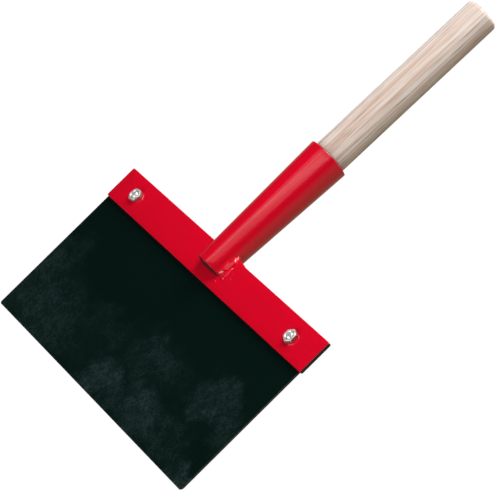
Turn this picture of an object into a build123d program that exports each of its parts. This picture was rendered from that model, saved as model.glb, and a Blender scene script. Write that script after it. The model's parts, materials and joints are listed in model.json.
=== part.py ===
from build123d import *
import os
from math import atan2, cos, degrees, radians, sin

# Push-type floor scraper, in millimetres. A flat bar holds a spring-steel blade with two bolts,
# and a conical ferrule welded to the bar holds a round ash handle.
# The tool lies on its back on z = 0: +X along the blade, +Y towards the handle's free end, and
# +Z up, out of the side with the nuts. It rests on the blade's back and on the ferrule's rim.

# Blade
blade_width = 300
blade_drop = 120
blade_lap = 28
blade_thickness = 1.5
blade_shift = -2.5
blade_corner = 2
bevel_length = 3
bevel_land = 0.4

# Holder bar
bar_length = 303
bar_height = 30
bar_thickness = 3
bar_corner = 1.5
bar_edge = 0.5

# M6 bolts and nuts
bolt_inset = 30.5
bolt_drop = 15.5
bolt_diameter = 6
bolt_clearance = 0.5
bolt_proud = 0.6
bolt_tip = 0.8
head_height = 4
nut_height = 3.2
nut_countersink = 0.5
across_flats = 10
crown_share = 0.95
crown_angle = 60
head_turns = (12, 35)
nut_turns = (43, 4)

# Ferrule: heights along its axis are counted from the bar's top edge
rim_height = 104.7
foot_overlap = 18.3
rim_radius = 17.8
foot_radius = 13.5
ferrule_wall = 2
axis_depth = 1.8
lean_back = 2
rim_round = 0.4

# Weld beads
bead_leg = 4.5
bead_rise = 5
bead_crown = 0.7
bead_wrap = 2.5
bead_stop = 1
top_bead_leg = 3
top_bead_crown = 0.4

# Handle
handle_diameter = 28.5
handle_beyond = 162
handle_tip = 5
handle_wedge = 50
handle_round = 3

# Round-head wood screw through the ferrule's left side
screw_height = 84
screw_diameter = 4
screw_hole = 4.5
screw_head = 7.5
screw_head_height = 2.4
screw_length = 18
screw_point = 4

handle_radius = handle_diameter / 2
handle_end = rim_height + handle_beyond
blade_foot = bar_height + blade_drop
back_depth = bar_thickness + blade_thickness

# The blade's back and the lowest point of the rim both touch the ground, which sets the pitch.
lean = radians(lean_back)
rest_y = bevel_length - blade_foot
rim_low_y = rim_height * cos(lean) - rim_radius * sin(lean)
rim_low_z = -axis_depth - rim_height * sin(lean) - rim_radius * cos(lean)
pitch = atan2(-back_depth - rim_low_z, rim_low_y - rest_y)
rise = pitch - lean
head_z = back_depth * cos(pitch) - rest_y * sin(pitch)

# The origin is halfway between the cutting edge and the handle's end.
edge_y = bar_thickness * sin(pitch) - blade_foot * cos(pitch)
flat_end = handle_end - handle_round
flat_radius = handle_radius - handle_round
end_y = axis_depth * sin(pitch) + flat_end * cos(rise) + flat_radius * sin(rise) + handle_round
head_y = -(edge_y + end_y) / 2

# "head" is the bar's front face, with its origin in the middle of the bar's top edge.
# "stick" looks the same way, and its Y axis is the axis of the ferrule and the handle.
# "side" is a section through the middle: its X is head's Y, and its Y is head's Z.
# "across" cuts the ferrule at the bar's top edge: its Y is head's Z, and it faces the blade's foot.
head = Plane((0, head_y, head_z)).rotated((degrees(pitch), 0, 0))
stick_start = head.from_local_coords((0, 0, -axis_depth))
stick = Plane(stick_start).rotated((degrees(rise), 0, 0))
head_axis = Axis(head.origin, head.z_dir)
stick_axis = Axis(stick.origin, stick.y_dir)
side = Plane(head.origin, x_dir=head.y_dir, z_dir=(1, 0, 0))
across = Plane(head.origin, x_dir=(1, 0, 0), z_dir=-head.y_dir)
blade_front = head.offset(-bar_thickness)
blade_back = head.offset(-back_depth)
bolt_x = bar_length / 2 - bolt_inset
bolt_places = [(blade_shift - bolt_x, -bolt_drop), (blade_shift + bolt_x, -bolt_drop)]
taper = (rim_radius - foot_radius) / (rim_height + foot_overlap)
os.makedirs("parts", exist_ok=True)


def outer_radius(height):
    return foot_radius + taper * (height + foot_overlap)


def write(piece, name):
    piece.part.label = name
    export_step(piece.part, f"parts/{name}.step")


def circles(piece):
    return piece.edges().filter_by(GeomType.CIRCLE)


def hexagons(turns):
    for place, turn in zip(bolt_places, turns):
        with Locations(place):
            RegularPolygon(across_flats / 2, 6, major_radius=False, rotation=turn)


# Blade: flat spring steel, ground on its back along the cutting edge
with BuildPart() as blade:
    with BuildSketch(blade_front) as outline:
        with Locations((blade_shift, blade_lap - bar_height)):
            Rectangle(blade_width, blade_drop + blade_lap, align=(Align.CENTER, Align.MAX))
        fillet(outline.vertices().group_by(Axis.Y)[0], blade_corner)
        with Locations(*bolt_places):
            Circle((bolt_diameter + bolt_clearance) / 2, mode=Mode.SUBTRACT)
    extrude(amount=-blade_thickness)
    with BuildSketch(side):
        with BuildLine():
            land = (-blade_foot, -bar_thickness - bevel_land)
            Polyline(land, (rest_y, -back_depth), (-blade_foot, -back_depth), close=True)
        make_face()
    extrude(amount=blade_width, both=True, mode=Mode.SUBTRACT)
write(blade, "blade")

# Holder bar: flat bar with rounded corners and softened edges
with BuildPart() as holder_bar:
    with BuildSketch(head):
        with Locations((0, -bar_height / 2)):
            RectangleRounded(bar_length, bar_height, bar_corner)
        with Locations(*bolt_places):
            Circle((bolt_diameter + bolt_clearance) / 2, mode=Mode.SUBTRACT)
    extrude(amount=-bar_thickness)
    faces = holder_bar.faces().filter_by(head_axis)
    fillet([edge for face in faces for edge in face.outer_wire().edges()], bar_edge)
write(holder_bar, "holder_bar")

# Blade bolts: hexagon heads behind the blade, ends just proud of the nuts
with BuildPart() as blade_bolts:
    with BuildSketch(blade_back):
        hexagons(head_turns)
    extrude(amount=-head_height)
    with BuildSketch(blade_back.offset(-head_height)):
        with Locations(*bolt_places):
            Circle(across_flats / 2 * crown_share)
    extrude(amount=head_height, taper=-crown_angle, mode=Mode.INTERSECT)
    with BuildSketch(blade_back):
        with Locations(*bolt_places):
            Circle(bolt_diameter / 2)
    extrude(amount=back_depth + nut_height + bolt_proud)
    chamfer(circles(blade_bolts).group_by(head_axis)[-1], bolt_tip)
write(blade_bolts, "blade_bolts")

# Blade nuts: thin hexagon nuts on the bar's front
with BuildPart() as blade_nuts:
    with BuildSketch(head):
        hexagons(nut_turns)
    extrude(amount=nut_height)
    with BuildSketch(head.offset(nut_height)):
        with Locations(*bolt_places):
            Circle(across_flats / 2 * crown_share)
    extrude(amount=-nut_height, taper=-crown_angle, mode=Mode.INTERSECT)
    with BuildSketch(head):
        with Locations(*bolt_places):
            Circle(bolt_diameter / 2)
    extrude(amount=nut_height, mode=Mode.SUBTRACT)
    with BuildSketch(head.offset(nut_height)):
        with Locations(*bolt_places):
            Circle(bolt_diameter / 2 + nut_countersink)
    extrude(amount=-nut_countersink, taper=45, mode=Mode.SUBTRACT)
write(blade_nuts, "blade_nuts")

# Fixing screw: into the handle through the ferrule's left side
screw_plane = Plane(
    stick.from_local_coords((0, screw_height, 0)), x_dir=stick.y_dir, z_dir=(-1, 0, 0)
)
screw_seat = outer_radius(screw_height + screw_head / 2)
with BuildPart() as handle_screw:
    with BuildSketch(screw_plane.offset(screw_seat)):
        Circle(screw_head / 2)
    extrude(amount=screw_head_height)
    fillet(handle_screw.edges().sort_by(Axis.X)[0], screw_head_height * 0.8)
    with BuildSketch(screw_plane.offset(screw_seat)):
        Circle(screw_diameter / 2)
    extrude(amount=screw_point - screw_length)
    with BuildSketch(screw_plane.offset(screw_seat + screw_point - screw_length)):
        Circle(screw_diameter / 2)
    extrude(amount=-screw_point, taper=degrees(atan2(screw_diameter * 0.45, screw_point)))
write(handle_screw, "handle_screw")

# Ferrule: a conical tube whose back is cut away below the bar's top edge
with BuildPart() as ferrule:
    with BuildSketch(stick):
        with BuildLine():
            Polyline(
                (foot_radius, -foot_overlap),
                (rim_radius, rim_height),
                (rim_radius - ferrule_wall, rim_height),
                (foot_radius - ferrule_wall, -foot_overlap),
                close=True,
            )
        make_face()
    revolve(axis=stick_axis)
    fillet(circles(ferrule).group_by(stick_axis)[-1], rim_round)
    with BuildSketch(side):
        Rectangle(2 * bar_height, 2 * bar_height, align=(Align.MAX, Align.MAX))
    extrude(amount=2 * rim_radius, both=True, mode=Mode.SUBTRACT)
    with BuildSketch(screw_plane):
        Circle(screw_hole / 2)
    extrude(amount=2 * rim_radius, mode=Mode.SUBTRACT)
write(ferrule, "ferrule")

# Handle: a round stick, shaved down from the rim so that its tip wedges in the ferrule
with BuildPart() as handle:
    with BuildSketch(stick):
        with BuildLine():
            Polyline(
                (0, handle_tip),
                (outer_radius(handle_tip) - ferrule_wall, handle_tip),
                (outer_radius(handle_wedge) - ferrule_wall, handle_wedge),
                (handle_radius, rim_height),
                (handle_radius, handle_end),
                (0, handle_end),
                close=True,
            )
        make_face()
    revolve(axis=stick_axis)
    fillet(circles(handle).sort_by(stick_axis)[-1], handle_round)
    add(handle_screw.part, mode=Mode.SUBTRACT)
write(handle, "handle")

# The cone that the ferrule fills, which the weld beads are fitted against
with BuildPart() as cone:
    with BuildSketch(stick):
        with BuildLine():
            Polyline(
                (0, -bar_height),
                (outer_radius(-bar_height), -bar_height),
                (outer_radius(bar_height), bar_height),
                (0, bar_height),
                close=True,
            )
        make_face()
    revolve(axis=stick_axis)

# A bead's section, in the corner between the ferrule's wall and a flat that it is welded to
base_radius = outer_radius(0)


def bead(leg, rise, crown):
    root_x = base_radius / 2
    toe = Vector(base_radius + leg, 0)
    crest = Vector(base_radius - rise / 2, rise)
    Polyline(crest, (root_x, rise), (root_x, 0), toe)
    ThreePointArc(toe, (toe + crest) / 2 + Vector(crown, crown), crest)


# Front welds: one bead down each side of the ferrule, on the bar's front
with BuildPart() as front_welds:
    with BuildSketch(across.offset(-bead_wrap)):
        with BuildLine():
            bead(bead_leg, bead_rise, bead_crown)
        make_face()
    extrude(amount=bead_wrap + foot_overlap - bead_stop)
    mirror(about=Plane.YZ)
    add(cone.part, mode=Mode.SUBTRACT)
write(front_welds, "front_welds")

# Top welds: a short bead on each side, on the bar's top edge
with BuildPart() as top_welds:
    with BuildSketch(head):
        with BuildLine():
            bead(top_bead_leg, top_bead_leg, top_bead_crown)
        make_face()
    extrude(amount=-bar_thickness)
    mirror(about=Plane.YZ)
    add(cone.part, mode=Mode.SUBTRACT)
write(top_welds, "top_welds")
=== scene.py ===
"""Looks of a push-type floor scraper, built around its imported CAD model."""

import json
from math import cos, pi, radians, sin, sqrt, tan, tau

import bmesh
import bpy
from bpy.props import FloatProperty, FloatVectorProperty, IntProperty, PointerProperty
from mathutils import Matrix, Vector


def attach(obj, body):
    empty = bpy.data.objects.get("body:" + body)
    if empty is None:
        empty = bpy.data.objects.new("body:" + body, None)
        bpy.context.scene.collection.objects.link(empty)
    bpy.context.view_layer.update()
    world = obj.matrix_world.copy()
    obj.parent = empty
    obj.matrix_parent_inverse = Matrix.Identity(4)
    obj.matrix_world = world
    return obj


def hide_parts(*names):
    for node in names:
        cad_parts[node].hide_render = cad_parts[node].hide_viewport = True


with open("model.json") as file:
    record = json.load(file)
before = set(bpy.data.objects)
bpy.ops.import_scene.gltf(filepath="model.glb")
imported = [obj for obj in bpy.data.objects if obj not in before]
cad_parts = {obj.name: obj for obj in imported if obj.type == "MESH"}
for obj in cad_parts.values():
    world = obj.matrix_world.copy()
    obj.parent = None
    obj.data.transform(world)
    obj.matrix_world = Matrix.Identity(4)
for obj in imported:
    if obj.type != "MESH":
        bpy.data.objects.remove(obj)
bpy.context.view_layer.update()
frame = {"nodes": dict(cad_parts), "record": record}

bl_info = {
    "name": "Floor Scraper",
    "version": (1, 0, 0),
    "blender": (4, 5, 0),
    "location": "View3D > Sidebar > Scraper",
    "description": "Builds the finished pieces of a push-type floor scraper around its CAD model",
    "category": "Object",
}

MM = 0.001
X_AXIS = Vector((1, 0, 0))

# Stock sizes of the M6 bolts, of their nuts and heads, and of the handle screw
BOLT_RADIUS = 3 * MM
APOTHEM = 5 * MM
HEAD_TURNS = (12, 35)
SCREW_RADIUS = 2 * MM
SCREW_POINT = 4 * MM
SCREW_THREAD = 0.5 * MM
SCREW_PITCH = 1.6 * MM
SLOT_TURN = 28

mounts = {mount["name"]: mount for mount in frame["record"]["mounts"]}


# --- Places and sizes, read from the CAD model -------------------------------------------------


def bench(origin, along):
    """A frame with X along the blade, Y along the given direction and Z up out of the nut side."""
    y_axis = Vector(along).normalized()
    turn = Matrix((X_AXIS, y_axis, X_AXIS.cross(y_axis))).transposed()
    return Matrix.Translation(origin) @ turn.to_4x4()


def points(node, place):
    """The vertices of a CAD node, seen from a bench."""
    seen_from = place.inverted()
    return [seen_from @ vertex.co for vertex in frame["nodes"][node].data.vertices]


def extent(found):
    """The lowest and highest corner of a list of points."""
    low = Vector([min(point[axis] for point in found) for axis in range(3)])
    high = Vector([max(point[axis] for point in found) for axis in range(3)])
    return low, high


def radius_near(node, place, height):
    """How far a node reaches from the bench's Y axis, close to a height along it."""
    near = [p for p in points(node, place) if abs(p.y - height) < 1 * MM]
    return max(sqrt(p.x * p.x + p.z * p.z) for p in near)


# HEAD lies on the bar's front face, with its origin in the middle of the bar's top edge.
# STICK has the handle's axis as its Y axis, and starts where that passes the bar's top edge.
head_up = -Vector(mounts["cutting_edge"]["axis"])
_, bar_reach = extent(points("holder_bar", bench((0, 0, 0), head_up)))
HEAD = bench(bench((0, 0, 0), head_up) @ Vector((0, bar_reach.y, bar_reach.z)), head_up)
stick_up = Vector(mounts["grip"]["axis"])
grip_from_head = Vector(mounts["grip"]["pos_m"]) - HEAD.translation
stick_start = grip_from_head - stick_up * (grip_from_head.dot(head_up) / stick_up.dot(head_up))
STICK = bench(HEAD.translation + stick_start, stick_up)

BAR_LOW, BAR_HIGH = extent(points("holder_bar", HEAD))
BLADE_LOW, BLADE_HIGH = extent(points("blade", HEAD))
_, NUT_HIGH = extent(points("blade_nuts", HEAD))
BOLT_LOW, BOLT_HIGH = extent(points("blade_bolts", HEAD))
FERRULE_LOW, FERRULE_HIGH = extent(points("ferrule", STICK))
HANDLE_LOW, HANDLE_HIGH = extent(points("handle", STICK))
SCREW_LOW, SCREW_HIGH = extent(points("handle_screw", STICK))
RIM_RADIUS = FERRULE_HIGH.x
FOOT_RADIUS = radius_near("ferrule", STICK, FERRULE_LOW.y)
TIP_RADIUS = radius_near("handle", STICK, HANDLE_LOW.y)
HANDLE_RADIUS = radius_near("handle", STICK, HANDLE_HIGH.y - 4 * MM)


def ferrule_radius(height):
    """The ferrule's outside radius at a height along the stick."""
    climbed = (height - FERRULE_LOW.y) / (FERRULE_HIGH.y - FERRULE_LOW.y)
    return FOOT_RADIUS + (RIM_RADIUS - FOOT_RADIUS) * climbed


def bolt_centres():
    """The middle of each bolt, left and right, on the bar's front face."""
    found = points("blade_bolts", HEAD)
    for side in (-1, 1):
        low, high = extent([p for p in found if p.x * side > 0])
        yield Vector(((low.x + high.x) / 2, (low.y + high.y) / 2, 0))


# --- Sizes and colours that a user may change --------------------------------------------------


def length(label, note, size):
    return FloatProperty(name=label, description=note, default=size, min=0, unit="LENGTH", precision=5)


def angle(label, note, size):
    return FloatProperty(name=label, description=note, default=radians(size), subtype="ANGLE")


def share(label, note, size):
    return FloatProperty(name=label, description=note, default=size, min=0, max=1, subtype="FACTOR")


def amount(label, note, size):
    return FloatProperty(name=label, description=note, default=size, min=0)


def colour(label, note, red, green, blue):
    return FloatVectorProperty(
        name=label, description=note, default=(red, green, blue, 1), size=4, min=0, max=1, subtype="COLOR"
    )


class BladeSizes(bpy.types.PropertyGroup):
    corner: length("Corner", "Radius of the two corners at the cutting edge", 2 * MM)
    softness: length("Edge Softness", "Radius along the sheet's sheared edges", 0.18 * MM)
    bevel: length("Ground Bevel", "Width of the bevel ground on the back", 3 * MM)
    land: length("Land", "Thickness left at the cutting edge", 0.4 * MM)
    black: colour("Oil Black", "Blackened steel", 0.0014, 0.0076, 0.0058)
    haze: colour("Haze", "Mottled grey where the blackening is thin", 0.018, 0.037, 0.035)
    bare: colour("Bare Steel", "Steel at worn edges and on the bevel", 0.16, 0.17, 0.165)


class HolderSizes(bpy.types.PropertyGroup):
    corner: length("Corner", "Radius of the bar's corners", 1.5 * MM)
    softness: length("Edge Softness", "Radius along the bar's edges", 0.5 * MM)
    wall: length("Ferrule Wall", "Thickness of the ferrule's wall", 2 * MM)
    rim: length("Rim Rounding", "Radius on the outside of the ferrule's rim", 0.7 * MM)
    hole: length("Hole Clearance", "How much wider the bolt and screw holes are", 0.5 * MM)
    red: colour("Red", "Enamel", 0.66, 0.0012, 0.0175)
    thin: colour("Thin Red", "Enamel where it pulls back from an edge", 0.30, 0.006, 0.012)
    # Near-black colour laid on the bar's end faces, inside the ferrule and on its foot's end.
    scale: colour("Near Black", "Bare sheared ends of the bar", 0.004, 0.003, 0.0025)
    # Painted shadow: the colour of the dark strip on the bar under the ferrule's foot.
    darkening: colour("Painted Shadow", "Dark strip on the bar under the ferrule's foot", 0.045, 0.010, 0.006)
    gloss: share("Roughness", "Roughness of the enamel", 0.13)


class WeldSizes(bpy.types.PropertyGroup):
    foot_leg: length("Leg at the Foot", "How far the bead reaches over the bar at its low end", 6.2 * MM)
    foot_rise: length("Rise at the Foot", "How far it climbs the ferrule at its low end", 4.2 * MM)
    top_leg: length("Leg at the Top", "How far the bead reaches at the bar's top edge", 7.6 * MM)
    top_rise: length("Rise at the Top", "How far it climbs at the bar's top edge", 3.0 * MM)
    pitch: length("Ripple Pitch", "Distance between two ripples", 2.6 * MM)
    depth: length("Ripple Depth", "Height of a ripple", 0.10 * MM)
    lumps: length("Lumps", "Unevenness of the whole bead", 0.9 * MM)
    seed: IntProperty(name="Seed", description="Where lumps and spatter fall", default=4, min=0)
    spatter: IntProperty(name="Spatter", description="Number of spatter beads", default=9, min=0)


class FastenerSizes(bpy.types.PropertyGroup):
    crown: share("Crown", "Diameter of a nut's flat face as a share of its width", 0.93)
    crown_slope: angle("Crown Slope", "Slope of the chamfer on nuts and heads", 30)
    left_turn: angle("Left Nut Turn", "How the left nut is turned", 43)
    right_turn: angle("Right Nut Turn", "How the right nut is turned", 4)
    pitch: length("Thread Pitch", "Pitch of the bolts' thread", 1 * MM)
    thread: length("Thread Depth", "Depth of the bolts' thread", 0.6 * MM)
    countersink: length("Countersink", "Width of the chamfer round a nut's bore", 0.55 * MM)
    tip: length("Tip Chamfer", "Chamfer at a bolt's end", 0.8 * MM)
    slot: length("Screw Slot", "Width of the slot in the handle screw", 1.1 * MM)
    zinc: colour("Zinc", "Bright zinc plate", 0.86, 0.85, 0.82)
    # This grey is also the painted shade on the sides below the top face.
    tarnish_and_shade: colour("Tarnish and Shade", "Grey in hollows and threads", 0.09, 0.09, 0.08)


class HandleSizes(bpy.types.PropertyGroup):
    rounding: length("End Rounding", "Radius at the handle's free end", 3 * MM)
    shaved: length("Shaved Length", "Height up to which the tip is shaved to the ferrule's taper", 50 * MM)
    ring: length("Ring Spacing", "Distance between growth rings", 1.9 * MM)
    pith: FloatVectorProperty(
        name="Pith", description="Middle of the tree, seen from the handle's axis",
        default=(-0.022, 0.0, -0.034), size=3, subtype="TRANSLATION", unit="LENGTH",
    )
    pale: colour("Pale Wood", "Late wood of the ash", 0.79, 0.71, 0.66)
    warm: colour("Warm Wood", "Early wood of the ash", 0.56, 0.41, 0.33)
    pore: colour("Pores", "Open pores and fine streaks", 0.30, 0.19, 0.15)
    # Painted shadow on the wood where it meets the ferrule's rim.
    rim_shadow: colour("Rim Shadow", "Dark line where the wood meets the ferrule's rim", 0.16, 0.075, 0.06)


class StudioSizes(bpy.types.PropertyGroup):
    aim: FloatVectorProperty(
        name="Aim", description="Point at the middle of the view",
        default=(0.0117, -0.0445, 0.015), size=3, subtype="TRANSLATION", unit="LENGTH",
    )
    distance: length("Distance", "From the camera to the aim", 2.2806)
    azimuth: angle("Azimuth", "Direction of the camera; 0 looks along +Y and 90 along -X", 81.884)
    elevation: angle("Elevation", "Height of the camera over the horizon", 40.233)
    roll: angle("Roll", "Turn of the camera about its line of sight, clockwise", 36.1)
    lens: FloatProperty(
        name="Lens", description="Focal length on a 36 mm sensor", default=219.5, unit="CAMERA"
    )
    key: amount("Overhead Box", "Radiance of the box over the tool", 0.65)
    far: amount("Far Box", "Radiance of the box over the handle's end", 9.9)
    near: amount("Near Box", "Radiance of the box over the blade's end", 5.0)
    tubes: amount("Tubes", "Radiance that the tubes add along both sides of the overhead box", 1.3)
    bounce: colour("Bounce", "Light that comes back from the floor", 0.38, 0.33, 0.245)
    room: amount("Room", "Light from the dark room above the floor", 0.02)


class ScraperSettings(bpy.types.PropertyGroup):
    blade: PointerProperty(type=BladeSizes)
    holder: PointerProperty(type=HolderSizes)
    weld: PointerProperty(type=WeldSizes)
    fastener: PointerProperty(type=FastenerSizes)
    handle: PointerProperty(type=HandleSizes)
    studio: PointerProperty(type=StudioSizes)


def add_object(name, data):
    """A new object in the scene."""
    thing = bpy.data.objects.new(name, data)
    bpy.context.scene.collection.objects.link(thing)
    return thing


# --- Node graphs -------------------------------------------------------------------------------


class Wire:
    """A node's output. An expression on wires and numbers adds the Math nodes that it needs."""

    def __init__(self, graph, socket):
        self.graph = graph
        self.socket = socket

    def math(self, operation, *values):
        return self.graph.node("ShaderNodeMath", {"operation": operation}, dict(enumerate(values)))

    def __add__(self, other):
        return self.math("ADD", self, other)

    __radd__ = __add__

    def __sub__(self, other):
        return self.math("SUBTRACT", self, other)

    def __rsub__(self, other):
        return self.math("SUBTRACT", other, self)

    def __mul__(self, other):
        return self.math("MULTIPLY", self, other)

    __rmul__ = __mul__

    def __truediv__(self, other):
        return self.math("DIVIDE", self, other)

    def __rtruediv__(self, other):
        return self.math("DIVIDE", other, self)

    def __pow__(self, other):
        return self.math("POWER", self, other)

    def __neg__(self):
        return self.math("SUBTRACT", 0, self)

    def __abs__(self):
        return self.math("ABSOLUTE", self)

    def of(self, operation):
        """A Math node with one input, such as SINE or SQRT."""
        return self.math(operation, self)

    def parts(self):
        """The X, Y and Z of a vector."""
        split = self.graph.make("ShaderNodeSeparateXYZ", {}, {0: self})
        return [Wire(self.graph, out) for out in split.outputs]


class Graph:
    """A node tree, with one method that adds any node."""

    def __init__(self, tree):
        self.tree = tree

    def make(self, kind, settings, sockets):
        made = self.tree.nodes.new(kind)
        for name, value in settings.items():
            setattr(made, name, value)
        for key, value in sockets.items():
            if isinstance(value, Wire):
                self.tree.links.new(value.socket, made.inputs[key])
            else:
                made.inputs[key].default_value = value
        return made

    def node(self, kind, settings, sockets, output=0):
        return Wire(self, self.make(kind, settings, sockets).outputs[output])

    def vector(self, x, y, z):
        return self.node("ShaderNodeCombineXYZ", {}, {0: x, 1: y, 2: z})

    def ease(self, value, low, high):
        """0 at low and 1 at high, with a soft start and end."""
        settings = {"interpolation_type": "SMOOTHSTEP", "clamp": True}
        return self.node("ShaderNodeMapRange", settings, {0: value, 1: low, 2: high, 3: 0.0, 4: 1.0})

    def noise(self, where, scale, detail=3.0, roughness=0.55, distortion=0.0):
        sockets = {
            "Vector": where, "Scale": scale, "Detail": detail,
            "Roughness": roughness, "Distortion": distortion,
        }
        return self.node("ShaderNodeTexNoise", {}, sockets)


class Finish(Graph):
    """A material in the making."""

    def __init__(self, name):
        self.material = bpy.data.materials.new(name)
        self.material.use_nodes = True
        super().__init__(self.material.node_tree)
        self.tree.nodes.clear()

    def seen_from(self, place):
        """Object coordinates, turned and centred to a bench."""
        where = self.node("ShaderNodeTexCoord", {}, {}, "Object")
        sockets = {"Vector": where, "Location": place.translation, "Rotation": place.to_euler()}
        return self.node("ShaderNodeMapping", {"vector_type": "TEXTURE"}, sockets)

    def stretch(self, where, x, y, z):
        return self.node("ShaderNodeVectorMath", {"operation": "MULTIPLY"}, {0: where, 1: (x, y, z)})

    def mix(self, factor, first, second):
        settings = {"data_type": "RGBA", "clamp_factor": True}
        return self.node("ShaderNodeMix", settings, {0: factor, 6: first, 7: second}, 2)

    def bump(self, height, distance, strength=1.0):
        sockets = {"Height": height, "Distance": distance, "Strength": strength}
        return self.node("ShaderNodeBump", {}, sockets)

    def surface(self, **sockets):
        """Ends the material in a Principled shader, and gives it back."""
        named = {name.replace("_", " ").title(): value for name, value in sockets.items()}
        named = {name.replace("Ior", "IOR"): value for name, value in named.items()}
        shader = self.node("ShaderNodeBsdfPrincipled", {}, named)
        self.make("ShaderNodeOutputMaterial", {}, {"Surface": shader})
        return self.material


class Recipe(Graph):
    """A Geometry Nodes tree with named inputs."""

    def __init__(self, name):
        super().__init__(bpy.data.node_groups.new(name, "GeometryNodeTree"))
        self.tree.interface.new_socket("Geometry", in_out="INPUT", socket_type="NodeSocketGeometry")
        self.tree.interface.new_socket("Geometry", in_out="OUTPUT", socket_type="NodeSocketGeometry")
        self.start = self.tree.nodes.new("NodeGroupInput")
        self.idents = {}

    def given(self, name, kind="Float"):
        """A named input of the tree."""
        made = self.tree.interface.new_socket(name, in_out="INPUT", socket_type=f"NodeSocket{kind}")
        self.idents[name] = made.identifier
        return Wire(self, self.start.outputs[name])

    def end(self, geometry):
        solid = self.node("GeometryNodeRealizeInstances", {}, {0: geometry})
        sockets = {"Geometry": solid, "Material": self.given("Material", "Material")}
        painted = self.node("GeometryNodeSetMaterial", {}, sockets)
        self.make("NodeGroupOutput", {}, {0: painted})

    def cook(self, mesh, **values):
        """The plain mesh that the tree makes from a mesh and its inputs."""
        holder = add_object(self.tree.name, mesh)
        modifier = holder.modifiers.new(self.tree.name, "NODES")
        modifier.node_group = self.tree
        for name, value in values.items():
            modifier[self.idents[name.replace("_", " ").title()]] = value
        ready = holder.evaluated_get(bpy.context.evaluated_depsgraph_get())
        made = bpy.data.meshes.new_from_object(ready)
        bpy.data.objects.remove(holder)
        made.shade_smooth()
        return made


# --- Meshes ------------------------------------------------------------------------------------


def arc(centre, radius, start, end, steps):
    """Points on an arc in a plane, from one angle to another, in degrees."""
    turns = [radians(start + (end - start) * step / steps) for step in range(steps + 1)]
    return [(centre[0] + radius * cos(turn), centre[1] + radius * sin(turn)) for turn in turns]


def join_rings(shape, rings, closed):
    """Faces between rings of the same length, where a ring of one vertex is a pole."""
    pairs = list(zip(rings, rings[1:] + rings[:1])) if closed else list(zip(rings, rings[1:]))
    for ring, after in pairs:
        for index in range(max(len(ring), len(after))):
            corners = [ring[index % len(ring)], ring[(index + 1) % len(ring)]]
            corners += [after[(index + 1) % len(after)], after[index % len(after)]]
            shape.faces.new(dict.fromkeys(corners)).smooth = True


def lathe(profile, segments, closed=False):
    """Turns a profile of (radius, height) points about the Y axis."""
    shape = bmesh.new()
    rings = []
    for radius, height in profile:
        turns = [tau * index / segments for index in range(segments)] if radius else [0]
        rings.append([shape.verts.new((radius * sin(t), height, radius * cos(t))) for t in turns])
    join_rings(shape, rings, closed)
    return shape


def rows(start, end, count):
    """Points on a straight line, without its end."""
    return [
        (start[0] + (end[0] - start[0]) * step / count, start[1] + (end[1] - start[1]) * step / count)
        for step in range(count)
    ]


def rounded_outline(low, high, inset, radii):
    """A rectangle's outline with an inset, and a radius for each corner from the low left one."""
    found = []
    corners = [(low.x, low.y), (high.x, low.y), (high.x, high.y), (low.x, high.y)]
    for index, ((x, y), radius) in enumerate(zip(corners, radii)):
        inward = (1 if x == low.x else -1, 1 if y == low.y else -1)
        centre = (x + inward[0] * radius, y + inward[1] * radius)
        found += arc(centre, radius - inset, 180 + 90 * index, 270 + 90 * index, 6)
    return found


def plate(low, high, softness, radii, holes, hole_radius):
    """A flat plate with soft edges and round holes."""
    shape = bmesh.new()
    rings = []
    for middle, start, end in ((low.z + softness, -90, 0), (high.z - softness, 0, 90)):
        for out, height in arc((softness, middle), softness, start, end, 3):
            outline = rounded_outline(low, high, 2 * softness - out, radii)
            rings.append([shape.verts.new((x, y, height)) for x, y in outline])
    join_rings(shape, rings, closed=False)
    turns = [tau * index / 32 for index in range(32)]
    loops = {ring[0].co.z: [ring] for ring in (rings[0], rings[-1])}
    for hole in holes:
        ends = []
        for height in loops:
            spots = [hole + Vector((cos(t), sin(t), 0)) * hole_radius for t in turns]
            ends.append([shape.verts.new((spot.x, spot.y, height)) for spot in spots])
            loops[height].append(ends[-1])
        join_rings(shape, ends, closed=False)
    for rims in loops.values():
        edges = []
        for ring in rims:
            for first, second in zip(ring, ring[1:] + ring[:1]):
                edges.append(shape.edges.get((first, second)) or shape.edges.new((first, second)))
        bmesh.ops.triangle_fill(shape, use_beauty=True, edges=edges)
    return shape


def hexagon_ring(shape, apothem, height_at, turns):
    """A ring on a hexagon's outline; height_at gives the height for a distance from the middle."""
    ring = []
    for t in turns:
        reach = apothem / cos((t + pi / 6) % (pi / 3) - pi / 6)
        ring.append(shape.verts.new((reach * cos(t), reach * sin(t), height_at(reach))))
    return ring


def circle_ring(shape, radius, height, turns):
    return [shape.verts.new((radius * cos(t), radius * sin(t), height)) for t in turns]


def thread_rings(shape, radius, depth, pitch, start, end, taper, turns):
    """Rings of a screw thread along Z. The last stretch narrows by taper."""
    found = []
    count = max(2, round((end - start) / pitch * 8))
    for step in range(count + 1):
        height = start + (end - start) * step / count
        crest = min(radius, radius - taper + (end - height))
        ring = []
        for t in turns:
            wave = abs(2 * ((height / pitch - t / tau) % 1) - 1)
            reach = min(crest, radius - depth * wave)
            ring.append(shape.verts.new((reach * cos(t), reach * sin(t), height)))
        found.append(ring)
    return found


def cut(mesh, tool):
    """Takes a closed tool mesh away from a closed mesh."""
    body, cutter = [add_object(mesh.name, data) for data in (mesh, tool)]
    modifier = body.modifiers.new("Cut", "BOOLEAN")
    modifier.operation = "DIFFERENCE"
    modifier.solver = "EXACT"
    modifier.object = cutter
    made = bpy.data.meshes.new_from_object(body.evaluated_get(bpy.context.evaluated_depsgraph_get()))
    bpy.data.objects.remove(body)
    bpy.data.objects.remove(cutter)
    return made


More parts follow.
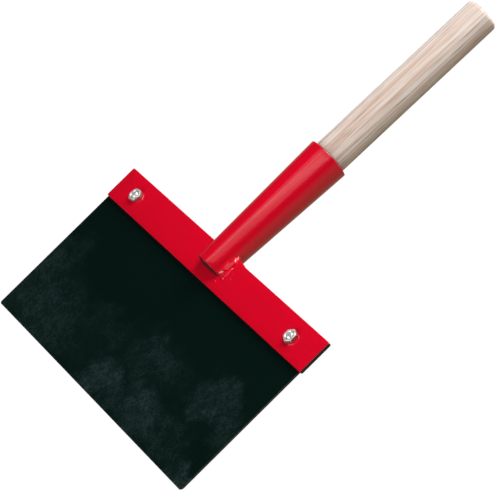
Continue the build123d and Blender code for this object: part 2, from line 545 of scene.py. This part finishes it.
def to_mesh(shape, name, place=Matrix.Identity(4)):
    """Puts a shape in its place as a closed mesh whose faces point outwards."""
    bmesh.ops.remove_doubles(shape, verts=shape.verts, dist=1e-6)
    bmesh.ops.transform(shape, matrix=place, verts=shape.verts)
    bmesh.ops.recalc_face_normals(shape, faces=shape.faces)
    mesh = bpy.data.meshes.new(name)
    shape.to_mesh(mesh)
    shape.free()
    return mesh


def to_shape(*meshes):
    """One editable shape from several meshes."""
    shape = bmesh.new()
    for mesh in meshes:
        shape.from_mesh(mesh)
    return shape


def show(mesh, name, node, materials, sharp=32):
    """Shows a mesh as a finished piece that stands for a CAD node."""
    mesh.set_sharp_from_angle(angle=radians(sharp))
    mesh.materials.clear()
    for material in materials:
        mesh.materials.append(material)
    mesh.name = name
    piece = add_object(name, mesh)
    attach(piece, "root")
    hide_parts(node)


# --- Finishes ----------------------------------------------------------------------------------


def enamel(sizes, name, ends=False, inside=False, dulled=0.0):
    """Glossy red enamel with a faint orange peel; near-black on the bar's ends and inside the ferrule,
    with a painted shadow on the bar under the ferrule's foot.
    """
    finish = Finish(name)
    where = finish.seen_from(HEAD)
    peel = finish.noise(where, 900, 2)
    clouds = finish.noise(where, 45, 4)
    paint = finish.mix(finish.ease(clouds, 0.35, 0.75) * 0.10, tuple(sizes.red), tuple(sizes.thin))
    rough = sizes.gloss + dulled + finish.ease(clouds, 0.3, 0.8) * 0.03
    if ends:
        x, y, _ = where.parts()
        # The bar's end faces are painted near-black.
        ragged = abs(x) + (finish.noise(where, 700, 2) - 0.5) * (0.35 * MM)
        edge = BAR_HIGH.x - sizes.softness
        bare = finish.ease(ragged, edge - 0.1 * MM, edge + 0.25 * MM)
        paint = finish.mix(bare, paint, tuple(sizes.scale))
        rough = rough + bare * 0.4
        # Painted shadow: a dark strip on the bar just below the ferrule's foot.
        foot = FERRULE_LOW.y + finish.noise(where, 300, 2) * (0.8 * MM)
        under = finish.ease(y - foot, -2.0 * MM, -1.1 * MM)
        under = under * (1 - finish.ease(abs(x), FOOT_RADIUS - 1.6 * MM, FOOT_RADIUS))
        paint = finish.mix(under * 0.9, paint, tuple(sizes.darkening))
        rough = rough + under * 0.4
        low_edge = finish.ease(-y, -BAR_LOW.y - 0.45 * MM, -BAR_LOW.y - 0.15 * MM)
        paint = finish.mix(low_edge * (1 - bare) * 0.5, paint, tuple(sizes.thin))
    if inside:
        # Inside the ferrule and on its foot's end, the enamel gives way to the near-black colour.
        across, along, upward = finish.seen_from(STICK).parts()
        radius = (across * across + upward * upward).of("SQRT")
        depth = ferrule_radius(along) - radius
        bare = finish.ease(depth, sizes.wall * 0.5, sizes.wall * 0.8)
        foot = 1 - finish.ease(along, FERRULE_LOW.y + 0.1 * MM, FERRULE_LOW.y + 0.3 * MM)
        bare = bare.math("MAXIMUM", bare, foot)
        paint = finish.mix(bare, paint, tuple(sizes.scale))
        rough = rough + bare * 0.4
    return finish.surface(
        base_color=paint, roughness=rough, normal=finish.bump(peel, 0.02 * MM, 0.4), ior=1.58
    )


# Where handling has rubbed the blade's blackening thin: the middle of each patch and its half
# sizes as shares of the blade across and upwards from the cutting edge, and how thin it is.
RUBBED = (
    (0.10, 0.14, 0.34, 0.36, 0.62),
    (0.02, 0.46, 0.16, 0.24, 0.62),
    (0.36, 0.36, 0.16, 0.20, 0.28),
    (0.50, 0.12, 0.12, 0.20, 0.95),
    (0.69, 0.14, 0.15, 0.22, 0.90),
    (0.97, 0.05, 0.12, 0.14, 1.10),
    (0.88, 0.48, 0.14, 0.22, 0.75),
    (0.60, 0.44, 0.18, 0.22, 0.50),
    (0.84, 0.16, 0.12, 0.14, 0.45),
)


def blackened_steel(sizes):
    """Oil-blackened spring steel, hazy in patches, worn along its edges, bright on its bevel."""
    finish = Finish("blackened_steel")
    where = finish.seen_from(HEAD)
    x, y, z = where.parts()
    across = (x - BLADE_LOW.x) / (BLADE_HIGH.x - BLADE_LOW.x)
    up = (y - BLADE_LOW.y) / (BAR_LOW.y - BLADE_LOW.y)
    drift = finish.noise(where, 22, 4, 0.6) - 0.5
    swirl = finish.noise(finish.stretch(where, 1, 1, -1), 38, 4, 0.6) - 0.5
    patches = None
    for spot_across, spot_up, width, height, strength in RUBBED:
        off_across = (across + drift * 0.30 - spot_across) / width
        off_up = (up + swirl * 0.65 - spot_up) / height
        off = (off_across * off_across + off_up * off_up).of("SQRT")
        patch = (1 - finish.ease(off, 0.15, 1.15)) * strength
        patches = patch if patches is None else patches.math("MAXIMUM", patches, patch)
    grains = finish.noise(finish.stretch(where, 1.0, 0.8, 1), 520, 4, 0.85)
    clouds = finish.noise(where, 90, 4, 0.7)
    speckle = finish.ease(grains, 0.36, 0.64) * (0.25 + finish.ease(clouds, 0.38, 0.62) * 0.75)
    hazy = patches * (0.16 + speckle * 1.0)
    colour_now = finish.mix(hazy, tuple(sizes.black), tuple(sizes.haze))
    side = abs(x - (BLADE_LOW.x + BLADE_HIGH.x) / 2)
    reach = (BLADE_HIGH.x - BLADE_LOW.x) / 2
    worn = finish.ease(side, reach - 0.5 * MM, reach - 0.05 * MM)
    tip = finish.ease(-y, -BLADE_LOW.y - 0.6 * MM, -BLADE_LOW.y - 0.1 * MM)
    worn = (worn.math("MAXIMUM", worn, tip)) * finish.ease(grains, 0.30, 0.62) * 0.55
    ground_line = -BLADE_LOW.y - sizes.bevel
    behind = finish.ease(-z, -BLADE_HIGH.z + sizes.land * 0.6, -BLADE_HIGH.z + sizes.land * 1.2)
    ground = finish.ease(-y, ground_line - 0.02 * MM, ground_line + 0.02 * MM) * behind
    bare = worn.math("MAXIMUM", worn, ground)
    colour_now = finish.mix(bare, colour_now, tuple(sizes.bare))
    rough = 0.20 + hazy * 0.25 + (grains - 0.5) * 0.04
    return finish.surface(
        base_color=colour_now, roughness=rough, metallic=bare * 0.9,
        normal=finish.bump(grains, 0.01 * MM, 0.4), specular_ior_level=0.22,
    )


def zinc_plate(sizes, place, top):
    """Bright zinc plate that greys in blotches, with painted shade that darkens it from its top down to
    what it sits on.
    """
    finish = Finish("zinc_plate")
    where = finish.seen_from(place)
    blotches = finish.noise(where, 600, 4)
    # Painted shade: the sides go grey below the top face.
    sides = 1 - finish.ease(abs(where.parts()[2]), top - 1.3 * MM, top - 0.5 * MM)
    darkening = finish.ease(blotches, 0.45, 0.8) * 0.35 + sides * 0.75
    colour_now = finish.mix(darkening, tuple(sizes.zinc), tuple(sizes.tarnish_and_shade))
    return finish.surface(
        base_color=colour_now, roughness=0.34 + darkening * 0.3, metallic=0.6,
        normal=finish.bump(blotches, 0.01 * MM, 0.3),
    )


# The direction across the stick, square to its length, along which a darker stripe and two dark lines are
# laid out on the wood.
BAND_X, BAND_Z = 0.64, -0.77


def ash_wood(sizes):
    """Sanded ash: growth rings round a pith beside the stick, pores and fine streaks along it."""
    finish = Finish("ash_wood")
    where = finish.seen_from(STICK)
    x, y, z = where.parts()
    wander = finish.noise(finish.stretch(where, 30, 4, 30), 1, 3)
    from_x = x - sizes.pith[0] + (y * 0.012)
    from_z = z - sizes.pith[2] + (wander - 0.5) * (2.4 * MM)
    distance = (from_x * from_x + from_z * from_z).of("SQRT")
    phase = (distance / sizes.ring).of("FRACT")
    early = finish.ease(phase, 0.0, 0.10) * (1 - finish.ease(phase, 0.15, 0.55))
    fibres = finish.noise(finish.stretch(where, 1300, 14, 1300), 1, 3, 0.6)
    streaks = finish.noise(finish.stretch(where, 620, 7, 620), 1, 4, 0.7)
    pores = finish.noise(finish.stretch(where, 1700, 45, 1700), 1, 2, 0.5)
    open_pores = finish.ease(pores, 0.56, 0.66) * (0.25 + early * 0.75)
    across = (x * BAND_X + z * BAND_Z) / HANDLE_RADIUS + (wander - 0.5) * 0.5
    band = 1 - finish.ease(abs(across + 0.38), 0.12, 0.40)
    stain = early * 0.25 + finish.ease(streaks, 0.45, 0.58) * 0.60 + band * 0.40
    for ring_edge in (-0.14, 0.04):
        line = 1 - finish.ease(abs(across - ring_edge), 0.01, 0.06)
        stain = stain + line * finish.ease(streaks, 0.36, 0.56) * 0.45
    toned = finish.mix(stain, tuple(sizes.pale), tuple(sizes.warm))
    toned = finish.mix(finish.ease(fibres, 0.47, 0.60) * 0.45, toned, tuple(sizes.warm))
    toned = finish.mix(open_pores * 0.7, toned, tuple(sizes.pore))
    # Painted shadow: a dark line on the wood just above the ferrule's rim.
    from_rim = y - FERRULE_HIGH.y
    rim_shadow = 1 - finish.ease(from_rim + (streaks - 0.5) * (2 * MM), 0.4 * MM, 1.9 * MM)
    toned = finish.mix(rim_shadow * 0.75, toned, tuple(sizes.rim_shadow))
    height = fibres * 0.5 - open_pores
    return finish.surface(
        base_color=toned, roughness=0.62 + (fibres - 0.5) * 0.15,
        normal=finish.bump(height, 0.06 * MM, 0.5), ior=1.4,
    )


# --- Pieces ------------------------------------------------------------------------------------


class PieceOperator:
    """What all of this add-on's operators share."""

    bl_options = {"REGISTER", "UNDO"}

    def execute(self, context):
        self.build(context.scene.scraper)
        return {"FINISHED"}


class SCRAPER_OT_blade(PieceOperator, bpy.types.Operator):
    """Build the blackened blade with its ground bevel"""

    bl_idname = "scraper.blade"
    bl_label = "Blade"

    def build(self, settings):
        sizes = settings.blade
        square = sizes.softness * 1.5
        radii = (sizes.corner, sizes.corner, square, square)
        hole_radius = BOLT_RADIUS + settings.holder.hole / 2
        shape = plate(BLADE_LOW, BLADE_HIGH, sizes.softness, radii, bolt_centres(), hole_radius)
        foot = Vector((0, BLADE_LOW.y, BLADE_HIGH.z - sizes.land))
        slope = Vector((0, BLADE_LOW.y + sizes.bevel, BLADE_LOW.z)) - foot
        outward = slope.cross(X_AXIS)
        parts = shape.verts[:] + shape.edges[:] + shape.faces[:]
        result = bmesh.ops.bisect_plane(
            shape, geom=parts, dist=1e-7, plane_co=foot, plane_no=outward.normalized(), clear_outer=True
        )
        rim = [item for item in result["geom_cut"] if isinstance(item, bmesh.types.BMEdge)]
        bmesh.ops.contextual_create(shape, geom=rim)
        mesh = to_mesh(shape, "blade_sheet", HEAD)
        show(mesh, "blackened_blade", "blade", [blackened_steel(sizes)], 20)


class SCRAPER_OT_holder_bar(PieceOperator, bpy.types.Operator):
    """Build the enamelled flat bar that holds the blade"""

    bl_idname = "scraper.holder_bar"
    bl_label = "Holder Bar"

    def build(self, settings):
        sizes = settings.holder
        radii = (sizes.corner,) * 4
        hole_radius = BOLT_RADIUS + sizes.hole / 2
        shape = plate(BAR_LOW, BAR_HIGH, sizes.softness, radii, bolt_centres(), hole_radius)
        mesh = to_mesh(shape, "bar", HEAD)
        paint = enamel(sizes, "bar_enamel", ends=True)
        show(mesh, "enamelled_bar", "holder_bar", [paint], 35)


class SCRAPER_OT_ferrule(PieceOperator, bpy.types.Operator):
    """Build the conical ferrule, coped over the bar"""

    bl_idname = "scraper.ferrule"
    bl_label = "Ferrule"

    def build(self, settings):
        sizes = settings.holder
        foot, rim = FERRULE_LOW.y, FERRULE_HIGH.y
        soft = sizes.rim
        lip = 0.3 * MM
        outer = rows((FOOT_RADIUS, foot + lip), (RIM_RADIUS, rim - soft), 30)
        inner = rows((RIM_RADIUS - sizes.wall, rim - lip), (FOOT_RADIUS - sizes.wall, foot + lip), 30)
        profile = outer + arc((RIM_RADIUS - soft, rim - soft), soft, 0, 90, 8)
        profile += arc((RIM_RADIUS - sizes.wall + lip, rim - lip), lip, 90, 180, 3)[:-1] + inner
        profile += arc((FOOT_RADIUS - sizes.wall + lip, foot + lip), lip, 180, 270, 3)
        profile += arc((FOOT_RADIUS - lip, foot + lip), lip, 270, 360, 3)[:-1]
        tube = to_mesh(lathe(profile, 144, closed=True), "tube", STICK)
        reach = 2 * RIM_RADIUS
        behind = bmesh.new()
        bmesh.ops.create_cube(behind, size=reach * 2)
        notch = to_mesh(behind, "notch", HEAD @ Matrix.Translation((0, -reach, -reach)))
        screw_y = (SCREW_LOW.y + SCREW_HIGH.y) / 2
        drill_radius = SCREW_RADIUS + sizes.hole / 2
        drill = lathe([(0, 0), (drill_radius, 0), (drill_radius, reach), (0, reach)], 32)
        turn = Matrix.Translation((0, screw_y, 0)) @ Matrix.Rotation(pi / 2, 4, "Z")
        hole = to_mesh(drill, "hole", STICK @ turn)
        mesh = cut(cut(tube, notch), hole)
        paint = enamel(sizes, "ferrule_enamel", inside=True)
        show(mesh, "enamelled_ferrule", "ferrule", [paint], 35)


def bead_recipe():
    """One weld bead: a rippled tube whose ends taper to a point, with its middle at the corner."""
    recipe = Recipe("Weld Bead")
    run, foot_leg, foot_rise, top_leg, top_rise, hollow, pitch, depth, lumps, seed = [
        recipe.given(name) for name in (
            "Length", "Foot Leg", "Foot Rise", "Top Leg", "Top Rise",
            "Hollow", "Pitch", "Depth", "Lumps", "Seed",
        )
    ]
    sockets = {"Size X": 1.0, "Size Y": 1.0, "Vertices X": 72, "Vertices Y": 41}
    grid = recipe.node("GeometryNodeMeshGrid", {}, sockets)
    u, v, _ = recipe.node("GeometryNodeInputPosition", {}, {}).parts()
    turn = v * tau
    along = u + 0.5
    across_cos, across_sin = turn.of("COSINE"), turn.of("SINE")
    left_over = 1 - (abs(u) * 2) ** 3.0
    ends = left_over.math("MAXIMUM", left_over, 0.0) ** 0.5
    leg = foot_leg + (top_leg - foot_leg) * along
    rise = foot_rise + (top_rise - foot_rise) * along
    x_share = across_cos.of("SIGN") * abs(across_cos) ** hollow
    z_share = across_sin.of("SIGN") * abs(across_sin) ** hollow
    length_now = along * run
    bowed = length_now - (abs(across_cos) ** 2.0) * (1.2 * MM)
    ripple = abs((bowed / pitch * pi).of("SINE")) ** 0.7 * depth
    spot = recipe.vector(x_share * leg, length_now + seed, z_share * rise)
    swell = (recipe.noise(spot, 120, 1) - 0.5) * 2 * lumps
    grown = ripple + swell
    x = (x_share * (leg + grown)) * ends
    z = (z_share * (rise + grown)) * ends
    place = recipe.vector(x, length_now - run / 2, z)
    shaped = recipe.node("GeometryNodeSetPosition", {}, {"Geometry": grid, "Position": place})
    sockets = {"Geometry": shaped, "Distance": 0.02 * MM}
    recipe.end(recipe.node("GeometryNodeMergeByDistance", {}, sockets))
    return recipe


def spatter_recipe():
    """Small flattened balls of weld spatter, scattered over a strip."""
    recipe = Recipe("Weld Spatter")
    count = recipe.given("Count", "Int")
    size = recipe.given("Size")
    low = recipe.given("Low", "Vector")
    high = recipe.given("High", "Vector")
    seed = recipe.given("Seed", "Int")
    random = {"data_type": "FLOAT_VECTOR"}
    spots = recipe.node("FunctionNodeRandomValue", random, {0: low, 1: high, 8: seed})
    made = recipe.node("GeometryNodePoints", {}, {"Count": count, "Position": spots, "Radius": size})
    ball = recipe.node("GeometryNodeMeshIcoSphere", {}, {"Radius": size, "Subdivisions": 3})
    scale = recipe.node("FunctionNodeRandomValue", {"data_type": "FLOAT"}, {2: 0.45, 3: 1.0, 8: seed}, 1)
    sockets = {"Points": made, "Instance": ball, "Scale": recipe.vector(scale, scale, scale * 0.8)}
    recipe.end(recipe.node("GeometryNodeInstanceOnPoints", {}, sockets))
    return recipe


# On the head: the bead's toe, its tail along the bar's top edge, and the strip with spatter
TOE_PLACE = Vector((18.6, -12.6, 0)) * MM
TAIL_PLACE = Vector((18.3, -0.3, -1.6)) * MM
SPATTER_LOW = (15 * MM, -24 * MM, -0.1 * MM)
SPATTER_HIGH = (27 * MM, -3 * MM, 0.1 * MM)


class SCRAPER_OT_welds(PieceOperator, bpy.types.Operator):
    """Build the rippled weld beads between the ferrule and the bar"""

    bl_idname = "scraper.welds"
    bl_label = "Weld Beads"

    def build(self, settings):
        sizes = settings.weld
        paint = enamel(settings.holder, "bead_enamel", dulled=0.05)
        recipe = bead_recipe()
        empty = bpy.data.meshes.new("start")

        def bead(run, foot, top, lumps, hollow=1.0, seed=0.0):
            """A bead of a length, with its (leg, rise) at the foot and at the top."""
            return recipe.cook(
                empty, length=run, foot_leg=foot[0], foot_rise=foot[1], top_leg=top[0], top_rise=top[1],
                hollow=hollow, seed=seed, pitch=sizes.pitch, depth=sizes.depth, lumps=lumps,
                material=paint,
            )

        run = 19.5 * MM
        above_edge = 1.6 * MM
        corner = FOOT_RADIUS - 2 * MM
        fronts = []
        for side in (1, -1):
            foot = (sizes.foot_leg, sizes.foot_rise)
            top = (sizes.top_leg if side == 1 else sizes.foot_leg, sizes.top_rise)
            front = bead(run, foot, top, sizes.lumps, seed=sizes.seed * side * MM * 10)
            place = Matrix.Translation((side * corner, -run / 2 + above_edge, 0))
            front.transform(HEAD @ place @ Matrix.Diagonal((side, 1, 1, 1)))
            fronts.append(front)
        toe = bead(12 * MM, (3.2 * MM, 1.5 * MM), (1.8 * MM, 1.0 * MM), 0.3 * MM)
        toe.transform(HEAD @ Matrix.Translation(TOE_PLACE))
        fronts.append(toe)
        spatter = spatter_recipe().cook(
            empty, count=sizes.spatter, size=0.55 * MM, low=SPATTER_LOW, high=SPATTER_HIGH,
            seed=sizes.seed, material=paint,
        )
        spatter.transform(HEAD)
        fronts.append(spatter)
        mesh = to_mesh(to_shape(*fronts), "front_beads")
        show(mesh, "front_weld_beads", "front_welds", [paint], 60)

        tops = []
        thickness = BAR_HIGH.z - BAR_LOW.z
        square = (5 * MM, 5 * MM)
        for side in (1, -1):
            seed = side * 10 * MM
            top = bead(thickness + 1.6 * MM, square, square, 0.2 * MM, hollow=3.0, seed=seed)
            turn = Matrix.Rotation(-pi / 2, 4, "X") @ Matrix.Diagonal((side, 1, 1, 1))
            wall = (ferrule_radius(0) - 0.3 * MM) * side
            top.transform(HEAD @ Matrix.Translation((wall, -0.2 * MM, -thickness / 2)) @ turn)
            tops.append(top)
        tail = bead(18 * MM, (1.5 * MM, 2.6 * MM), (1.4 * MM, 0.9 * MM), 0.1 * MM)
        lying = Matrix.Rotation(-pi / 2, 4, "Z") @ Matrix.Rotation(pi / 2, 4, "Y")
        tail.transform(HEAD @ Matrix.Translation(TAIL_PLACE) @ lying)
        tops.append(tail)
        mesh = to_mesh(to_shape(*tops), "top_beads")
        show(mesh, "top_weld_beads", "top_welds", [paint], 60)


def pair_recipe():
    """The same fastener at each point, turned by the point's own angle."""
    recipe = Recipe("Fastener Pair")
    model = recipe.given("Fastener", "Object")
    turn = recipe.node("GeometryNodeInputNamedAttribute", {"data_type": "FLOAT"}, {"Name": "turn"})
    solid = recipe.node("GeometryNodeObjectInfo", {}, {"Object": model}, "Geometry")
    sockets = {
        "Points": Wire(recipe, recipe.start.outputs["Geometry"]),
        "Instance": solid,
        "Rotation": recipe.vector(0.0, 0.0, turn),
    }
    recipe.end(recipe.node("GeometryNodeInstanceOnPoints", {}, sockets))
    return recipe


def at_bolts(recipe, mesh, turns, material):
    """Copies a fastener to both bolt centres."""
    model = add_object("model", mesh)
    spots = bpy.data.meshes.new("spots")
    spots.from_pydata([tuple(centre) for centre in bolt_centres()], [], [])
    spots.attributes.new("turn", "FLOAT", "POINT").data.foreach_set("value", turns)
    made = recipe.cook(spots, fastener=model, material=material)
    bpy.data.objects.remove(model)
    made.transform(HEAD)
    return made


class SCRAPER_OT_fasteners(PieceOperator, bpy.types.Operator):
    """Build the two hexagon bolts and their nuts"""

    bl_idname = "scraper.fasteners"
    bl_label = "Bolts and Nuts"

    def build(self, settings):
        sizes = settings.fastener
        zinc = zinc_plate(sizes, HEAD, NUT_HIGH.z)
        recipe = pair_recipe()
        turns = [tau * index / 96 for index in range(96)]
        crown = APOTHEM * sizes.crown
        slope = tan(sizes.crown_slope)
        bore = BOLT_RADIUS
        top = NUT_HIGH.z

        nut = bmesh.new()
        rings = [
            circle_ring(nut, bore, sizes.countersink, turns),
            circle_ring(nut, bore + sizes.countersink, 0, turns),
            circle_ring(nut, crown, 0, turns),
            hexagon_ring(nut, APOTHEM, lambda reach: (reach - crown) * slope, turns),
            hexagon_ring(nut, APOTHEM, lambda reach: top - (reach - crown) * slope, turns),
            circle_ring(nut, crown, top, turns),
            circle_ring(nut, bore + sizes.countersink, top, turns),
            circle_ring(nut, bore, top - sizes.countersink, turns),
        ]
        join_rings(nut, rings, closed=True)
        mesh = at_bolts(recipe, to_mesh(nut, "nut"), [sizes.left_turn, sizes.right_turn], zinc)
        show(to_mesh(to_shape(mesh), "nuts"), "hexagon_nuts", "blade_nuts", [zinc], 25)

        bolt = bmesh.new()
        base, back, end = BOLT_LOW.z, BLADE_LOW.z, BOLT_HIGH.z
        rings = [
            [bolt.verts.new((0, 0, base))],
            circle_ring(bolt, crown * 0.5, base, turns),
            circle_ring(bolt, crown, base, turns),
            hexagon_ring(bolt, APOTHEM, lambda reach: base + (reach - crown) * slope, turns),
            hexagon_ring(bolt, APOTHEM, lambda reach: back, turns),
            circle_ring(bolt, bore, back, turns),
        ]
        rings += thread_rings(bolt, bore, sizes.thread, sizes.pitch, 0, end, sizes.tip, turns)
        rings += [circle_ring(bolt, bore * 0.45, end, turns), [bolt.verts.new((0, 0, end))]]
        join_rings(bolt, rings, closed=False)
        head_turns = [radians(turn) for turn in HEAD_TURNS]
        mesh = at_bolts(recipe, to_mesh(bolt, "bolt"), head_turns, zinc)
        show(to_mesh(to_shape(mesh), "bolts"), "hexagon_bolts", "blade_bolts", [zinc], 25)


class SCRAPER_OT_handle_screw(PieceOperator, bpy.types.Operator):
    """Build the slotted round-head screw in the ferrule's side"""

    bl_idname = "scraper.handle_screw"
    bl_label = "Handle Screw"

    def build(self, settings):
        sizes = settings.fastener
        head_radius = (SCREW_HIGH.y - SCREW_LOW.y) / 2
        middle = Vector((0, (SCREW_LOW.y + SCREW_HIGH.y) / 2, 0))
        seat = ferrule_radius(middle.y + head_radius)
        head_height = -SCREW_LOW.x - seat
        inner = -SCREW_HIGH.x
        turns = [tau * index / 48 for index in range(48)]
        screw = bmesh.new()
        rings = [[screw.verts.new((0, 0, inner))]]
        rings.append(circle_ring(screw, SCREW_RADIUS * 0.5, inner + SCREW_POINT / 2, turns))
        rings += thread_rings(
            screw, SCREW_RADIUS, SCREW_THREAD, SCREW_PITCH, inner + SCREW_POINT, seat, 0, turns
        )
        dome = arc((0, seat), 1, 0, 90, 8)
        for reach, height in dome[:-1]:
            up = seat + (height - seat) * head_height
            rings.append(circle_ring(screw, head_radius * reach, up, turns))
        rings.append([screw.verts.new((0, 0, seat + head_height))])
        join_rings(screw, rings, closed=False)
        outward = Matrix.Translation(middle) @ Matrix.Rotation(-pi / 2, 4, "Y")
        body = to_mesh(screw, "screw", STICK @ outward)
        blank = bmesh.new()
        bmesh.ops.create_cube(blank, size=1)
        size = Matrix.Diagonal((3 * head_radius, sizes.slot, head_height, 1))
        deep = Matrix.Translation((0, 0, seat + head_height))
        tilt = Matrix.Rotation(radians(SLOT_TURN), 4, "Z")
        slot = to_mesh(blank, "slot", STICK @ outward @ deep @ tilt @ size)
        zinc = zinc_plate(sizes, STICK, 0)
        show(cut(body, slot), "handle_screw_slotted", "handle_screw", [zinc], 30)


class SCRAPER_OT_handle(PieceOperator, bpy.types.Operator):
    """Build the ash handle"""

    bl_idname = "scraper.handle"
    bl_label = "Handle"

    def build(self, settings):
        sizes = settings.handle
        tip, end = HANDLE_LOW.y, HANDLE_HIGH.y
        soft = sizes.rounding
        chamfer = 1 * MM
        rim = FERRULE_HIGH.y
        wedge = ferrule_radius(sizes.shaved) - settings.holder.wall
        profile = [(0, tip), (TIP_RADIUS - chamfer, tip)]
        profile += rows((TIP_RADIUS, tip + chamfer), (wedge, sizes.shaved), 12)
        profile += rows((wedge, sizes.shaved), (HANDLE_RADIUS, rim), 12)
        profile += rows((HANDLE_RADIUS, rim), (HANDLE_RADIUS, end - soft), 40)
        profile += arc((HANDLE_RADIUS - soft, end - soft), soft, 0, 90, 8)
        profile += rows((HANDLE_RADIUS - soft, end), (0, end), 4)[1:] + [(0, end)]
        mesh = to_mesh(lathe(profile, 96), "stick", STICK)
        show(mesh, "ash_handle", "handle", [ash_wood(sizes)], 40)


# --- Studio ------------------------------------------------------------------------------------


def softbox(name, aim, tilt_x, tilt_y, distance, width, depth, radiance):
    """A rectangular light that faces the aim; tilts lean it from overhead towards X and Y."""
    light = bpy.data.lights.new(name, "AREA")
    light.shape = "RECTANGLE"
    light.size = width
    light.size_y = depth
    light.energy = radiance * pi * width * depth
    lamp = add_object(name, light)
    direction = Vector((tan(tilt_x), tan(tilt_y), 1)).normalized()
    lamp.matrix_world = Matrix.Translation(Vector(aim) + direction * distance) @ (
        direction.to_track_quat("Z", "Y").to_matrix().to_4x4()
    )
    lamp.visible_camera = False


def cyclorama():
    """A white floor that curves up into a dome, seen by the camera only."""
    dome = lathe([(0, 0), (9, 0), *arc((9, 3), 3, -90, 0, 8), (12, 9), (9, 14), (0, 16)], 48)
    mesh = to_mesh(dome, "cyclorama", Matrix.Rotation(pi / 2, 4, "X"))
    white = bpy.data.materials.new("studio_white")
    white.use_nodes = True
    graph = Graph(white.node_tree)
    white.node_tree.nodes.clear()
    glow = graph.node("ShaderNodeEmission", {}, {"Color": (1, 1, 1, 1), "Strength": 1.02})
    graph.make("ShaderNodeOutputMaterial", {}, {"Surface": glow})
    mesh.materials.append(white)
    floor = add_object("cyclorama", mesh)
    floor.visible_diffuse = False
    floor.visible_glossy = False
    floor.visible_transmission = False
    floor.visible_shadow = False


def room_light(sizes):
    """A dark room over a floor that sends light back."""
    world = bpy.data.worlds.new("studio_room")
    world.use_nodes = True
    graph = Graph(world.node_tree)
    world.node_tree.nodes.clear()
    _, _, up = graph.node("ShaderNodeTexCoord", {}, {}, "Generated").parts()
    upward = graph.ease(up, -0.35, 0.35)
    dark = (sizes.room, sizes.room, sizes.room, 1)
    settings = {"data_type": "RGBA"}
    light = graph.node("ShaderNodeMix", settings, {0: upward, 6: tuple(sizes.bounce), 7: dark}, 2)
    back = graph.node("ShaderNodeBackground", {}, {"Color": light, "Strength": 1.0})
    graph.make("ShaderNodeOutputWorld", {}, {"Surface": back})
    bpy.context.scene.world = world


class SCRAPER_OT_studio(PieceOperator, bpy.types.Operator):
    """Set up the floor, the lights and the camera"""

    bl_idname = "scraper.studio"
    bl_label = "Studio"

    def build(self, settings):
        sizes = settings.studio
        data = bpy.data.cameras.new("camera")
        data.sensor_width = 36
        data.lens = sizes.lens
        data.clip_end = 100
        camera = add_object("camera", data)
        a, e = sizes.azimuth, sizes.elevation
        back = Vector((sin(a) * cos(e), -cos(a) * cos(e), sin(e)))
        facing = back.to_track_quat("Z", "Y").to_matrix().to_4x4()
        place = Matrix.Translation(Vector(sizes.aim) + back * sizes.distance)
        camera.matrix_world = place @ facing @ Matrix.Rotation(-sizes.roll, 4, "Z")
        bpy.context.scene.camera = camera

        for name, tilt_x, tilt_y, distance, width, depth, radiance in (
            ("overhead_box", 16, 5, 1.2, 0.56, 1.5, sizes.key),
            ("left_tube", 4, 5, 1.25, 0.07, 1.5, sizes.tubes),
            ("right_tube", 28, 5, 1.25, 0.07, 1.5, sizes.tubes),
            ("far_box", 12, 58, 1.5, 1.0, 1.0, sizes.far),
            ("near_box", 12, -58, 1.5, 1.0, 1.0, sizes.near),
        ):
            tilts = radians(tilt_x), radians(tilt_y)
            softbox(name, sizes.aim, *tilts, distance, width, depth, radiance)
        room_light(sizes)
        cyclorama()
        bpy.context.scene.view_settings.view_transform = "Standard"


# --- Add-on ------------------------------------------------------------------------------------


class SCRAPER_PT_panel(bpy.types.Panel):
    """The scraper's pieces and their sizes"""

    bl_label = "Floor Scraper"
    bl_idname = "SCRAPER_PT_panel"
    bl_space_type = "VIEW_3D"
    bl_region_type = "UI"
    bl_category = "Scraper"

    def draw(self, context):
        settings = context.scene.scraper
        for operator, group in STEPS:
            box = self.layout.box()
            box.operator(operator.bl_idname)
            for name in getattr(settings, group).__annotations__:
                box.prop(getattr(settings, group), name)


STEPS = (
    (SCRAPER_OT_studio, "studio"),
    (SCRAPER_OT_blade, "blade"),
    (SCRAPER_OT_holder_bar, "holder"),
    (SCRAPER_OT_ferrule, "holder"),
    (SCRAPER_OT_welds, "weld"),
    (SCRAPER_OT_fasteners, "fastener"),
    (SCRAPER_OT_handle_screw, "fastener"),
    (SCRAPER_OT_handle, "handle"),
)
GROUPS = (BladeSizes, HolderSizes, WeldSizes, FastenerSizes, HandleSizes, StudioSizes, ScraperSettings)
CLASSES = GROUPS + tuple(operator for operator, _ in STEPS) + (SCRAPER_PT_panel,)


def register():
    for cls in CLASSES:
        bpy.utils.register_class(cls)
    bpy.types.Scene.scraper = PointerProperty(type=ScraperSettings)


def unregister():
    del bpy.types.Scene.scraper
    for cls in reversed(CLASSES):
        bpy.utils.unregister_class(cls)


def main():
    register()
    for operator, _ in STEPS:
        getattr(bpy.ops.scraper, operator.bl_idname.split(".")[1])()


if __name__ == "__main__":
    main()
